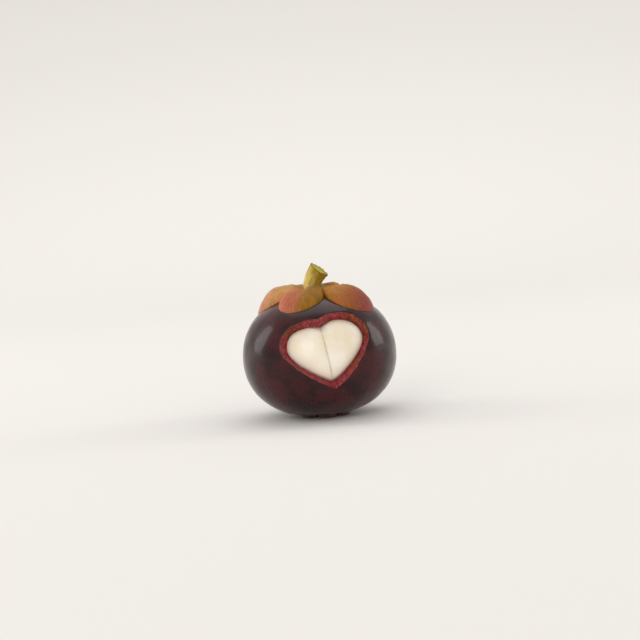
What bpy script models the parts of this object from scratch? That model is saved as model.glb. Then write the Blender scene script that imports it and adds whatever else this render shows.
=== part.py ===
"""A mangosteen whose rind has a heart-shaped window, cut through to the white segments inside.

Units are metres. +Z is up, -Y is the side with the window, and Z = 0 is the surface the fruit stands on.
Azimuths are in degrees round the upright axis, 0 at -Y and positive towards +X.
"""
import math

import bmesh
import bpy
from mathutils import Vector
from mathutils.geometry import interpolate_bezier

# Rind: a turned shell, flattened above and below, slightly squarer than an ellipse
RIND_RADIUS = 0.0350
WAIST_HEIGHT = 0.0275
RIND_RISE = 0.0290
RIND_DROP = 0.0278
RIND_SQUARENESS = 2.2
RIND_WALL = 0.0050
CROWN_DENT = 0.0022
CROWN_DENT_RADIUS = 0.0085
BASE_DENT = 0.0029
BASE_DENT_RADIUS = 0.0131
RIND_ROWS = 13
RIND_STEPS = 44

# Window: a heart on a plane that faces WINDOW_AZIMUTH, WINDOW_PLANE from the middle of the fruit
WINDOW_AZIMUTH = 7.0
WINDOW_PITCH = 12.0
WINDOW_ROLL = 7.0
WINDOW_PLANE = 0.0300
SKIN_DEPTH = 0.0295
FLESH_DEPTH = 0.0255
CUT_FROM = 0.0215
CUT_TO = 0.0360
HEART_STEPS = 9

# Flesh: six segments round one axis, like an orange's
CLEARANCE = 0.0007
ARIL_COUNT = 6
ARIL_FIRST_AZIMUTH = -22.4
ARIL_TWIST = -340.0
ARIL_GAP = 0.0004
ARIL_CORE = 0.0016
ARIL_ROUNDNESS = 6.5
ARIL_SWELL = 0.0027
ARIL_SWELL_MARGIN = 0.0065
ARIL_SWELL_INSET = 0.0014
ARIL_SWELL_FROM = 0.0140
SHOWN_ARIL_GRID = (36, 24)
HIDDEN_ARIL_GRID = (18, 12)

# Calyx: each sepal's azimuth and half width in degrees, its reach from the axis, the height of its
# swell and the share of that height that its middle crease takes away
SEPALS = {
    "sepal_front": (-25.5, 38.0, 0.0258, 0.0041, 0.26),
    "sepal_right": (63.0, 50.5, 0.0273, 0.0041, 0.10),
    "sepal_back": (155.5, 42.0, 0.0264, 0.0045, 0.24),
    "sepal_left": (-113.0, 49.5, 0.0280, 0.0046, 0.12),
}
SEPAL_INNER = 0.0052
SEPAL_MIDDLE = 0.0130
SEPAL_SHOULDER = 0.0080
SEPAL_FREE = 0.0165
SEPAL_GAP = 0.0007
SEPAL_WALL = 0.0016
SEPAL_LIFT = 0.0005
SEPAL_DOME_POWER = 3.4
SEPAL_BASE_STEEPNESS = 0.35
SEPAL_RIM = 0.90
SEPAL_GRID = (32, 14)
EDGE_HALVINGS = 30
CREASE_WIDTH = 0.0024

# Stem: the curve along its middle, from foot to cut end, and its girth
STEM_FOOT = Vector((-0.0008, 0.0, 0.0552))
STEM_RISE = Vector((-0.0018, 0.0, 0.0600))
STEM_BEND = Vector((0.0007, -0.0003, 0.0637))
STEM_TIP = Vector((0.0034, -0.0006, 0.0674))
STEM_RADIUS = 0.0038
STEM_FLARE = 0.0008
STEM_RIBS = 9
STEM_RIB_HEIGHT = 0.00022
STEM_SIDES = 36
STEM_ROWS = 9
CUT_LIP = 0.3
CUT_HOLLOW = 0.0006

# Stigma: a flat rosette of one lobe for each segment
STIGMA_CENTRE = 0.0008
STIGMA_THICKNESS = 0.0020
STIGMA_RADIUS = 0.0118
STIGMA_NOTCH_RADIUS = 0.0066
STIGMA_NOTCH_SHARPNESS = 0.3
STIGMA_TURN = 6.0
STIGMA_RIM = 0.33
STIGMA_GRID = (60, 8)

COLOURS = {
    "rind": ((0.045, 0.012, 0.014), 0.25),
    "aril": ((0.86, 0.76, 0.60), 0.35),
    "sepal": ((0.47, 0.19, 0.08), 0.55),
    "stem": ((0.42, 0.35, 0.06), 0.60),
    "stigma": ((0.16, 0.07, 0.08), 0.50),
}


def start_collections():
    """Empty the scene and return a collection for the fruit and one for its cutters."""
    for old in list(bpy.data.objects):
        bpy.data.objects.remove(old, do_unlink=True)
    made = []
    for name in ("mangosteen", "cutters"):
        collection = bpy.data.collections.new(name)
        bpy.context.scene.collection.children.link(collection)
        made.append(collection)
    return made


def material(kind, name):
    """A Principled material for one piece."""
    colour, roughness = COLOURS[kind]
    made = bpy.data.materials.new(name)
    made.use_nodes = True
    shader = made.node_tree.nodes["Principled BSDF"]
    shader.inputs["Base Color"].default_value = (*colour, 1.0)
    shader.inputs["Roughness"].default_value = roughness
    return made


def add_object(name, bm, collection, kind=None):
    """Turn a bmesh into an object, shaded smooth except at sharp edges."""
    bmesh.ops.recalc_face_normals(bm, faces=bm.faces)
    mesh = bpy.data.meshes.new(name)
    bm.to_mesh(mesh)
    bm.free()
    made = bpy.data.objects.new(name, mesh)
    collection.objects.link(made)
    mesh.shade_smooth()
    mesh.set_sharp_from_angle(angle=math.radians(40))
    if kind:
        mesh.materials.append(material(kind, name))
    return made


def around(azimuth):
    """Unit vector, level, at an azimuth in degrees."""
    angle = math.radians(azimuth)
    return Vector((math.sin(angle), -math.cos(angle), 0.0))


def squarish(share):
    """Radius left at a share of the height, on the rind's rounded outline."""
    power = RIND_SQUARENESS
    return max(0.0, 1.0 - abs(share) ** power) ** (1.0 / power)


def dent(radius, depth, width):
    return depth * math.exp(-((radius / width) ** 4))


def rind_top(radius):
    """Height of the rind's upper skin at a distance from the axis."""
    level = WAIST_HEIGHT + RIND_RISE * squarish(radius / RIND_RADIUS)
    return level - dent(radius, CROWN_DENT, CROWN_DENT_RADIUS)


def rind_underside(radius):
    level = WAIST_HEIGHT - RIND_DROP * squarish(radius / RIND_RADIUS)
    return level + dent(radius, BASE_DENT, BASE_DENT_RADIUS)


def rounded_wedge(angle, half_angle, inner, outer, roundness):
    """Point on the outline of a wedge that spreads from the origin along +X, its corners rounded.

    The outline is read along a ray from the wedge's middle at an angle in radians.
    """
    middle = 0.5 * (inner + outer)
    ray = Vector((math.cos(angle), math.sin(angle)))
    along = middle * ray.x
    reach = -along + math.sqrt(along * along + outer * outer - middle * middle)
    nearness = (1.0 / reach) ** roundness
    for side in (-1.0, 1.0):
        normal = Vector((-math.sin(half_angle), side * math.cos(half_angle)))
        facing = ray.dot(normal)
        if facing > 0.0:
            nearness += (facing / (middle * math.sin(half_angle))) ** roundness
    if ray.x < 0.0:
        nearness += (-ray.x / (middle - inner)) ** roundness
    return Vector((middle, 0.0)) + ray * nearness ** (-1.0 / roundness)


def inside_sepal(place, half_angle, reach):
    """Whether a point lies on a sepal that spreads from the origin along +X and rounds off."""
    radius = place.length
    if radius < SEPAL_INNER:
        return False
    widen = math.atan2(place.y, place.x) / half_angle
    lengthen = max(0.0, radius - SEPAL_SHOULDER) / (reach - SEPAL_SHOULDER)
    return widen * widen + lengthen * lengthen < 1.0


def sepal_edge(angle, half_angle, reach):
    """Point on a sepal's outline, along a ray from its middle at an angle in radians."""
    middle = Vector((SEPAL_MIDDLE, 0.0))
    ray = Vector((math.cos(angle), math.sin(angle)))
    near, far = 0.0, 2.0 * reach
    for _ in range(EDGE_HALVINGS):
        halfway = 0.5 * (near + far)
        if inside_sepal(middle + ray * halfway, half_angle, reach):
            near = halfway
        else:
            far = halfway
    return middle + ray * near


def heart(notch, left_top, left_side, tip, right_side, right_top, curl=0.0062):
    """Outline of a heart through six points, in anticlockwise order from its notch."""
    flat = Vector((curl, 0.0))
    upright = Vector((0.0, 1.1 * curl))
    knots = [
        (notch, Vector((0.0030, 0.0022)), Vector((-0.0030, 0.0014))),
        (left_top, flat, -flat),
        (left_side, upright, -upright),
        (tip, Vector((-0.0068, 0.0062)), Vector((0.0068, 0.0062))),
        (right_side, -upright, upright),
        (right_top, flat, -flat),
    ]
    outline = []
    for index, (start, _, leave) in enumerate(knots):
        end, arrive, _ = knots[(index + 1) % len(knots)]
        stretch = interpolate_bezier(start, start + leave, end + arrive, end, HEART_STEPS + 1)
        outline += [point.to_2d() for point in stretch[:-1]]
    return outline


SKIN_HEART = heart(
    notch=Vector((-0.0012, 0.0118)),
    left_top=Vector((-0.0106, 0.0134)),
    left_side=Vector((-0.0217, 0.0040)),
    tip=Vector((0.0003, -0.0190)),
    right_side=Vector((0.0213, 0.0050)),
    right_top=Vector((0.0100, 0.0157)),
)
FLESH_HEART = heart(
    notch=Vector((-0.0009, 0.0092)),
    left_top=Vector((-0.0104, 0.0124)),
    left_side=Vector((-0.0206, 0.0032)),
    tip=Vector((-0.0003, -0.0173)),
    right_side=Vector((0.0214, 0.0040)),
    right_top=Vector((0.0096, 0.0146)),
)


def window_axes():
    """Right, up and outward axes of the plane that the heart is drawn on."""
    pitch = math.radians(WINDOW_PITCH)
    roll = math.radians(WINDOW_ROLL)
    outward = around(WINDOW_AZIMUTH) * math.cos(pitch) + Vector((0, 0, math.sin(pitch)))
    level = around(WINDOW_AZIMUTH + 90.0)
    rise = outward.cross(level) * -1.0
    if rise.z < 0.0:
        rise.negate()
    right = level * math.cos(roll) + rise * math.sin(roll)
    up = rise * math.cos(roll) - level * math.sin(roll)
    return right, up, outward


def fruit_middle():
    return Vector((0.0, 0.0, WAIST_HEIGHT))


def make_window_cutter(collection):
    """A loft from the heart at the flesh, through the heart at the skin, and on past both."""
    right, up, outward = window_axes()
    bm = bmesh.new()
    rings = []
    for depth in (CUT_FROM, CUT_TO):
        share = (depth - FLESH_DEPTH) / (SKIN_DEPTH - FLESH_DEPTH)
        ring = []
        for low, high in zip(FLESH_HEART, SKIN_HEART):
            inner = low * (FLESH_DEPTH / WINDOW_PLANE)
            outer = high * (SKIN_DEPTH / WINDOW_PLANE)
            flat = inner.lerp(outer, share)
            place = fruit_middle() + right * flat.x + up * flat.y + outward * depth
            ring.append(bm.verts.new(place))
        rings.append(ring)
    bm.faces.new(rings[0])
    bm.faces.new(rings[1])
    count = len(rings[0])
    for index in range(count):
        after = (index + 1) % count
        bm.faces.new((rings[0][index], rings[0][after], rings[1][after], rings[1][index]))
    cutter = add_object("window_cutter", bm, collection)
    cutter.hide_render = True
    cutter.display_type = "WIRE"
    return cutter


def make_rind(collection, cutter):
    """The turned shell, its wall grown inwards and its window cut."""
    bm = bmesh.new()
    rows = []
    for row in range(2 * RIND_ROWS + 1):
        turn = math.pi * row / (2 * RIND_ROWS)
        radius = RIND_RADIUS * math.sin(turn) ** (2.0 / RIND_SQUARENESS)
        if row in (0, 2 * RIND_ROWS):
            radius = 0.0
        height = rind_top(radius) if row <= RIND_ROWS else rind_underside(radius)
        rows.append(bm.verts.new((radius, 0.0, height)))
    for above, below in zip(rows, rows[1:]):
        bm.edges.new((above, below))
    rind = add_object("rind", bm, collection, "rind")
    turned = rind.modifiers.new("turned", "SCREW")
    turned.axis = "Z"
    turned.steps = RIND_STEPS
    turned.render_steps = RIND_STEPS
    turned.use_merge_vertices = True
    turned.merge_threshold = 0.00001
    turned.use_smooth_shade = True
    wall = rind.modifiers.new("wall", "SOLIDIFY")
    wall.thickness = RIND_WALL
    wall.offset = -1.0
    window = rind.modifiers.new("window", "BOOLEAN")
    window.operation = "DIFFERENCE"
    window.solver = "EXACT"
    window.object = cutter
    return rind


def inside_heart(direction):
    """How far inside the flesh's heart a direction from the middle passes, 0 outside it."""
    right, up, outward = window_axes()
    ahead = direction.dot(outward)
    if ahead <= 0.0:
        return 0.0
    spot = Vector((direction.dot(right), direction.dot(up))) * (WINDOW_PLANE / ahead)
    inside = False
    nearest = WINDOW_PLANE
    previous = FLESH_HEART[-1]
    for corner in FLESH_HEART:
        edge = corner - previous
        share = max(0.0, min(1.0, (spot - previous).dot(edge) / edge.length_squared))
        nearest = min(nearest, (previous + edge * share - spot).length)
        if (corner.y > spot.y) != (previous.y > spot.y):
            crossing = previous.x + edge.x * (spot.y - previous.y) / edge.y
            inside ^= spot.x < crossing
        previous = corner
    return nearest if inside else 0.0


def swell(distance):
    """Height that the flesh stands up in the window, at a distance inside its edge."""
    share = max(0.0, min(1.0, (distance - ARIL_SWELL_INSET) / ARIL_SWELL_MARGIN))
    return ARIL_SWELL * math.sin(0.5 * math.pi * share)


def make_aril(number, collection):
    """One segment: a sphere whose rings are rounded wedges, drawn to a point at both ends."""
    shown = number in (1, 2)
    sides, rings = SHOWN_ARIL_GRID if shown else HIDDEN_ARIL_GRID
    pitch = 360.0 / ARIL_COUNT
    half_angle = math.radians(0.5 * pitch)
    outer = RIND_RADIUS - RIND_WALL - CLEARANCE
    rise = RIND_RISE - RIND_WALL - CLEARANCE
    drop = RIND_DROP - RIND_WALL - CLEARANCE
    shift = 0.5 * ARIL_GAP / math.sin(half_angle)
    bm = bmesh.new()
    bmesh.ops.create_uvsphere(bm, u_segments=sides, v_segments=rings, radius=1.0)
    for vert in bm.verts:
        share = max(-1.0, min(1.0, vert.co.z))
        girth = squarish(share)
        height = share * (rise if share > 0.0 else drop)
        turn = math.atan2(vert.co.y, vert.co.x)
        flat = rounded_wedge(turn, half_angle, ARIL_CORE, outer - shift, ARIL_ROUNDNESS)
        azimuth = ARIL_FIRST_AZIMUTH + pitch * (number - 1) + ARIL_TWIST * height
        forward = around(azimuth)
        sideways = around(azimuth + 90.0)
        place = forward * (flat.x * girth + shift) + sideways * flat.y * girth
        if share > 0.0:
            height -= dent(place.length, CROWN_DENT, CROWN_DENT_RADIUS)
        else:
            height += dent(place.length, BASE_DENT, BASE_DENT_RADIUS)
        place.z = height
        if shown and place.length > ARIL_SWELL_FROM:
            place += place.normalized() * swell(inside_heart(place))
        vert.co = fruit_middle() + place
    return add_object(f"aril_{number}", bm, collection, "aril")


def dome(share):
    """Height of a sepal's swell, 1 in its middle and 0 at its margin."""
    return math.sqrt(max(0.0, 1.0 - min(1.0, share) ** SEPAL_DOME_POWER))


def steepness(radius):
    """How soon a sepal rises from its margin: steeply where it meets the others round the stem."""
    share = (radius - SEPAL_SHOULDER) / (SEPAL_FREE - SEPAL_SHOULDER)
    share = max(0.0, min(1.0, share))
    return SEPAL_BASE_STEEPNESS + (1.0 - SEPAL_BASE_STEEPNESS) * share * share


def make_sepal(name, collection):
    """A leathery cap that narrows to a rounded tip: domed above, hollow below, close to the rind."""
    azimuth, half_width, reach, height, crease = SEPALS[name]
    half_angle = math.radians(half_width)
    shift = 0.5 * SEPAL_GAP / math.sin(half_angle)
    forward = around(azimuth)
    sideways = around(azimuth + 90.0)
    middle = Vector((SEPAL_MIDDLE, 0.0))
    bm = bmesh.new()
    bmesh.ops.create_uvsphere(bm, u_segments=SEPAL_GRID[0], v_segments=SEPAL_GRID[1], radius=1.0)
    for vert in bm.verts:
        share = min(1.0, math.hypot(vert.co.x, vert.co.y))
        turn = math.atan2(vert.co.y, vert.co.x)
        flat = middle.lerp(sepal_edge(turn, half_angle, reach - shift), share)
        fading = max(0.0, 1.0 - flat.x / reach)
        valley = 1.0 - crease * fading * math.exp(-((flat.y / CREASE_WIDTH) ** 2))
        underneath = vert.co.z < -0.01
        if underneath:
            crown = (height - SEPAL_WALL) * dome(share / SEPAL_RIM) * valley
        else:
            crown = height * dome(share) ** steepness(flat.length) * valley
        place = forward * (flat.x + shift) + sideways * flat.y
        place.z = rind_top(place.length) + SEPAL_LIFT + crown
        vert.co = place
    return add_object(name, bm, collection, "sepal")


def make_stem(collection):
    """A ribbed stub that bends to the right and flares at its slanted, hollowed cut."""
    bm = bmesh.new()
    rings = []
    path = interpolate_bezier(STEM_FOOT, STEM_RISE, STEM_BEND, STEM_TIP, STEM_ROWS + 1)
    for row, centre in enumerate(path):
        share = row / STEM_ROWS
        before = path[max(0, row - 1)]
        after = path[min(STEM_ROWS, row + 1)]
        axis = (after - before).normalized()
        across = Vector((0.0, 1.0, 0.0)).cross(axis).normalized()
        deep = axis.cross(across)
        radius = STEM_RADIUS + STEM_FLARE * share ** 3
        ring = []
        for side in range(STEM_SIDES):
            turn = 2.0 * math.pi * side / STEM_SIDES
            rib = STEM_RIB_HEIGHT * math.cos(STEM_RIBS * turn)
            spread = across * math.cos(turn) + deep * math.sin(turn)
            ring.append(bm.verts.new(centre + spread * (radius + rib)))
        rings.append(ring)
    inset = [
        bm.verts.new(vert.co.lerp(path[-1], CUT_LIP) - axis * CUT_HOLLOW) for vert in rings[-1]
    ]
    rings.append(inset)
    for lower, upper in zip(rings, rings[1:]):
        for side in range(STEM_SIDES):
            after = (side + 1) % STEM_SIDES
            bm.faces.new((lower[side], lower[after], upper[after], upper[side]))
    bm.faces.new(rings[0])
    bm.faces.new(inset)
    return add_object("stem", bm, collection, "stem")


def make_stigma(collection):
    """The rosette: a sphere pressed flat above and below, with one lobe for each segment."""
    bm = bmesh.new()
    bmesh.ops.create_uvsphere(bm, u_segments=STIGMA_GRID[0], v_segments=STIGMA_GRID[1], radius=1.0)
    for vert in bm.verts:
        share = math.hypot(vert.co.x, vert.co.y)
        turn = math.atan2(vert.co.x, -vert.co.y)
        wave = abs(math.cos(0.5 * ARIL_COUNT * turn)) ** STIGMA_NOTCH_SHARPNESS
        radius = STIGMA_NOTCH_RADIUS + (STIGMA_RADIUS - STIGMA_NOTCH_RADIUS) * wave
        place = around(math.degrees(turn) + STIGMA_TURN) * radius * share
        place.x += STIGMA_CENTRE
        level = max(-1.0, min(1.0, vert.co.z / STIGMA_RIM))
        place.z = 0.5 * STIGMA_THICKNESS * (1.0 + level)
        vert.co = place
    return add_object("stigma", bm, collection, "stigma")


def main():
    fruit, cutters = start_collections()
    cutter = make_window_cutter(cutters)
    make_rind(fruit, cutter)
    for number in range(1, ARIL_COUNT + 1):
        make_aril(number, fruit)
    for name in SEPALS:
        make_sepal(name, fruit)
    make_stem(fruit)
    make_stigma(fruit)


main()
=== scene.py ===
# A mangosteen whose rind has a heart-shaped window, cut through to the white segments inside.
# Metres throughout: +Z is up, the window faces -Y, and the fruit stands on Z = 0.
import bisect
import math

import bmesh
import bpy
from mathutils import Matrix, Vector, kdtree, noise
from mathutils.geometry import interpolate_bezier


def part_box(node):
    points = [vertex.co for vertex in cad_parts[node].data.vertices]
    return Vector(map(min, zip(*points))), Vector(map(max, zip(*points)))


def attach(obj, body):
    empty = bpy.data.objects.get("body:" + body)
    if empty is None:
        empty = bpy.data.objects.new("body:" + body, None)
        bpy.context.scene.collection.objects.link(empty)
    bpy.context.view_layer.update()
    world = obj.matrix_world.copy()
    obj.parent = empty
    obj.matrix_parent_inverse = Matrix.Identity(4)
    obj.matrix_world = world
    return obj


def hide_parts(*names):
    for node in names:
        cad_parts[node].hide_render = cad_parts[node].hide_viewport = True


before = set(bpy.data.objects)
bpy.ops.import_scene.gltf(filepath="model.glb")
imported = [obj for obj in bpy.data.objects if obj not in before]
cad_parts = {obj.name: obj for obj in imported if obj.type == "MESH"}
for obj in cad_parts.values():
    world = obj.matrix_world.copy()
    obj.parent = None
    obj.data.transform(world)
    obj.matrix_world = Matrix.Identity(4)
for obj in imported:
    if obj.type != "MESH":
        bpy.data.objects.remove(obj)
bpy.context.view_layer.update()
print("frame loaded:", len(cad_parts), "nodes")

mm = 0.001
halvings = 26                                     # of every search between two places
noiseSpan = {"From Min": 0.3, "From Max": 0.7}    # nearly all of a noise's values lie in it
mixShare, mixFrom, mixTo, mixOut = 0, 6, 7, 2     # sockets of a Mix node for colours


def clamp(value, low=0.0, high=1.0):
    return max(low, min(high, value))


def smoothStep(value, start, end):
    share = clamp((value - start) / (end - start))
    return share * share * (3.0 - 2.0 * share)


def bell(away, width):  # 1 in the middle, next to nothing two widths away
    return math.exp(-((away / width) ** 2))


def around(azimuth):  # level unit vector; 0 degrees is -Y, 90 is +X
    angle = math.radians(azimuth)
    return Vector((math.sin(angle), -math.cos(angle), 0.0))


def fuzz(place, cell, octaves=2):  # smooth noise from -1 to 1, with lumps about one cell wide
    return noise.fractal(place / cell, 1.0, 2.0, octaves, noise_basis="PERLIN_ORIGINAL")


def furthest(inside, low, high):  # the last value between low and high that is still inside
    for _ in range(halvings):
        halfway = 0.5 * (low + high)
        if inside(halfway):
            low = halfway
        else:
            high = halfway
    return low


def linear(code):  # "#rrggbb" as the linear colour that shaders take
    parts = [int(code[index:index + 2], 16) / 255.0 for index in (1, 3, 5)]
    lit = [part / 12.92 if part <= 0.04045 else ((part + 0.055) / 1.055) ** 2.4 for part in parts]
    return (*lit, 1.0)


def addNode(tree, kind, inputs=None, **settings):  # a ramp's stops are pairs of place and colour
    node = tree.nodes.new("ShaderNode" + kind)
    for name, value in settings.items():
        if name == "stops":
            ends = node.color_ramp.elements[0], node.color_ramp.elements[-1]
            for end, (position, code) in zip(ends, (value[0], value[-1])):
                end.position, end.color = position, linear(code)
            for position, code in value[1:-1]:
                node.color_ramp.elements.new(position).color = linear(code)
        else:
            setattr(node, name, value)
    for name, value in (inputs or {}).items():
        if isinstance(value, bpy.types.NodeSocket):
            tree.links.new(value, node.inputs[name])
        else:
            node.inputs[name].default_value = linear(value) if isinstance(value, str) else value
    return node


def startMaterial(name):  # patterns read the place on the piece
    made = bpy.data.materials.new(name)
    made.use_nodes = True
    return made, made.node_tree, addNode(made.node_tree, "TexCoord").outputs["Object"]


def finishMaterial(made, values, links):
    shader = made.node_tree.nodes["Principled BSDF"]
    for name, value in values.items():
        shader.inputs[name].default_value = value
    for name, socket in links.items():
        made.node_tree.links.new(socket, shader.inputs[name])
    return made


def makeObject(name, bm, *materials):
    for face in bm.faces:
        face.smooth = True
    mesh = bpy.data.meshes.new(name)
    bm.to_mesh(mesh)
    bm.free()
    for material in materials:
        mesh.materials.append(material)
    made = bpy.data.objects.new(name, mesh)
    bpy.context.scene.collection.objects.link(made)
    print("made", name, "with", len(mesh.polygons), "faces")
    return made


def addPiece(name, bm, node, slotName, *materials):
    bmesh.ops.recalc_face_normals(bm, faces=bm.faces)
    piece = makeObject(name, bm, *materials)
    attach(piece, "root")
    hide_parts(node)


# The outline that every piece follows: a turned form, a little squarer than an ellipse
rindLow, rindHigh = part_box("rind")
fruit = {
    "radius": 0.5 * (rindHigh.x - rindLow.x),
    "waist": 27.5 * mm,        # height of the widest ring
    "rise": 29.0 * mm,         # from the waist to the crown, before its dent
    "drop": 27.8 * mm,
    "squareness": 2.2,         # 2 is an ellipse
    "wall": 5.0 * mm,
    "crownDent": (2.2 * mm, 8.5 * mm),    # depth and radius
    "baseDent": (2.9 * mm, 13.1 * mm),
    "dentPower": 4,            # higher is flatter within and steeper at the side
}
middle = Vector((0.0, 0.0, fruit["waist"]))


def dent(radius, which):
    depth, width = fruit[which]
    return depth * math.exp(-((radius / width) ** fruit["dentPower"]))


def skinReach(direction, inset=0.0):  # from the middle to the outline, along a unit direction
    power = fruit["squareness"]
    tall = fruit["rise"] if direction.z > 0.0 else fruit["drop"]
    level = math.hypot(direction.x, direction.y) / (fruit["radius"] - inset)
    upright = abs(direction.z) / (tall - inset)
    return (level ** power + upright ** power) ** (-1.0 / power)


def skinPoint(direction, inset=0.0):
    place = direction * skinReach(direction, inset)
    radius = math.hypot(place.x, place.y)
    place.z += dent(radius, "baseDent") if place.z < 0.0 else -dent(radius, "crownDent")
    return middle + place


def squarish(share):
    power = fruit["squareness"]
    return max(0.0, 1.0 - abs(share) ** power) ** (1.0 / power)


def rindTop(radius):
    level = fruit["waist"] + fruit["rise"] * squarish(radius / fruit["radius"])
    return level - dent(radius, "crownDent")


# The window: one heart at the flesh and one at the skin, both drawn on the same plane and moved
# to their own depths along rays from the middle
window = {
    "azimuth": 7.0,
    "pitch": 12.0,
    "roll": 7.0,
    "plane": 30.0 * mm,        # how far from the middle that plane is
    "skinDepth": 29.5 * mm,
    "fleshDepth": 25.5 * mm,
    "curl": 6.2 * mm,          # handle length at the hearts' tops
    "sideCurl": 1.1,           # and at their sides, as a share of it
    "notchHandles": ((3.0, 2.2), (-3.0, 1.4)),
    "tipHandles": ((-6.8, 6.2), (6.8, 6.2)),
    "steps": (32, 44, 104, 104, 44, 32),    # points along each of the six stretches
    "skinHeart": ((-1.2, 11.8), (-10.6, 13.4), (-21.7, 4.0), (0.3, -19.0), (21.3, 5.0), (10.0, 15.7)),
    "fleshHeart": ((-0.9, 9.2), (-10.4, 12.4), (-20.6, 3.2), (-0.3, -17.3), (21.4, 4.0), (9.6, 14.6)),
}


def windowAxes():
    pitch = math.radians(window["pitch"])
    roll = math.radians(window["roll"])
    outward = around(window["azimuth"]) * math.cos(pitch) + Vector((0, 0, math.sin(pitch)))
    level = around(window["azimuth"] + 90.0)
    rise = outward.cross(level)
    right = level * math.cos(roll) + rise * math.sin(roll)
    up = rise * math.cos(roll) - level * math.sin(roll)
    return right, up, outward


def heartOutline(which):  # anticlockwise from the notch
    flat = Vector((window["curl"], 0.0))
    upright = Vector((0.0, window["sideCurl"] * window["curl"]))
    notch = [Vector(handle) * mm for handle in window["notchHandles"]]
    tip = [Vector(handle) * mm for handle in window["tipHandles"]]
    handles = [notch, (flat, -flat), (upright, -upright), tip, (-upright, upright), (flat, -flat)]
    places = [Vector(place) * mm for place in window[which]]
    outline = []
    for index, steps in enumerate(window["steps"]):
        after = (index + 1) % len(places)
        leave, arrive = handles[index][1], handles[after][0]
        start, end = places[index], places[after]
        stretch = interpolate_bezier(start, start + leave, end + arrive, end, steps + 1)
        outline += [point.to_2d() for point in stretch[:-1]]
    return outline


rightward, upward, outward = windowAxes()
skinHeart = heartOutline("skinHeart")
fleshHeart = heartOutline("fleshHeart")
fleshPolar = sorted((math.atan2(spot.y, spot.x), spot.length) for spot in fleshHeart)
fleshAngles = [entry[0] for entry in fleshPolar]
fleshTree = kdtree.KDTree(len(fleshHeart))
for index, spot in enumerate(fleshHeart):
    fleshTree.insert(spot.to_3d(), index)
fleshTree.balance()


def cutPoint(column, share):  # on the cut wall: share 0 at the flesh's depth, 1 at the skin's
    low = fleshHeart[column] * (window["fleshDepth"] / window["plane"])
    high = skinHeart[column] * (window["skinDepth"] / window["plane"])
    flat = low.lerp(high, share)
    depth = window["fleshDepth"] + (window["skinDepth"] - window["fleshDepth"]) * share
    return middle + rightward * flat.x + upward * flat.y + outward * depth


def cutShare(column, inset):  # where the cut wall meets the outline, inset deep
    def below(share):
        ray = cutPoint(column, share) - middle
        return ray.length < skinReach(ray.normalized(), inset)
    return furthest(below, -4.0, 4.0)


def insideHeart(direction):  # how far inside the flesh's heart a direction passes, below 0 outside it
    ahead = direction.dot(outward)
    if ahead <= 0.0:
        return -window["plane"]
    spot = Vector((direction.dot(rightward), direction.dot(upward))) * (window["plane"] / ahead)
    nearest = fleshTree.find(spot.to_3d())[2]
    found = bisect.bisect(fleshAngles, math.atan2(spot.y, spot.x)) % len(fleshPolar)
    return nearest if spot.length < fleshPolar[found][1] else -nearest


rind = {
    "skinRows": 128,
    "wallRows": 26,
    "innerRows": 30,
    "crowding": 1.45,          # how much closer the skin's rows lie near the window
    "innerCrowding": 1.3,
    "edgeRound": 0.35 * mm,    # width of the rounding at the window's edge
    "edgeDrop": 0.10 * mm,
    "edgeWander": 0.34 * mm,   # how far the knife strays from the heart
    "footCalm": 0.6,           # share of the straying that is lost at the wall's foot
    "wanderCell": 2.4 * mm,
    "wanderFade": 2.6 * mm,
    "stainDepth": 0.9 * mm,    # dark layer under the skin
    "stainShare": 0.8,
    "stainRagged": 0.6,
    "stainCell": 1.6 * mm,
    "wallBulge": 0.25 * mm,
    "fibreFrom": 0.6 * mm,     # the wall is rough from this far below the skin
    "fibreDepth": 0.42 * mm,
    "fibreCell": 0.9 * mm,
    "grainDepth": 0.17 * mm,
    "grainCell": 0.38 * mm,
    "smoothFrom": 0.55,        # and smoother again from this share of its depth down
    "smoothing": 0.7,
    "undulation": 0.16 * mm,
    "undulationCell": 11.0 * mm,
    "driedPlaces": ((27.0, 24.0), (-36.0, 15.0), (140.0, 15.0)),    # degrees, and how far each spreads
    "cloudSize": 13.0 * mm,
    "speckSpacing": 1.1 * mm,
    "dustSize": 3.8 * mm,
    "poreSize": 0.65 * mm,
    "rippleSize": 5.5 * mm,
    "pulpSize": 1.5 * mm,
    "dryingSize": 3.8 * mm,
    "skinTones": ((0.30, "#1b0809"), (0.46, "#2a0c0f"), (0.60, "#401115"), (0.78, "#291011")),
    "speckTone": "#8a6a5c",
    "freshTones": ((0.30, "#460f10"), (0.44, "#7f1f23"), (0.57, "#aa3a40"), (0.72, "#cd6f6a")),
    "driedTones": ((0.32, "#4c1c0f"), (0.52, "#823919"), (0.74, "#ad6230")),
    "stainTone": "#3a1214",
}


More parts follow.
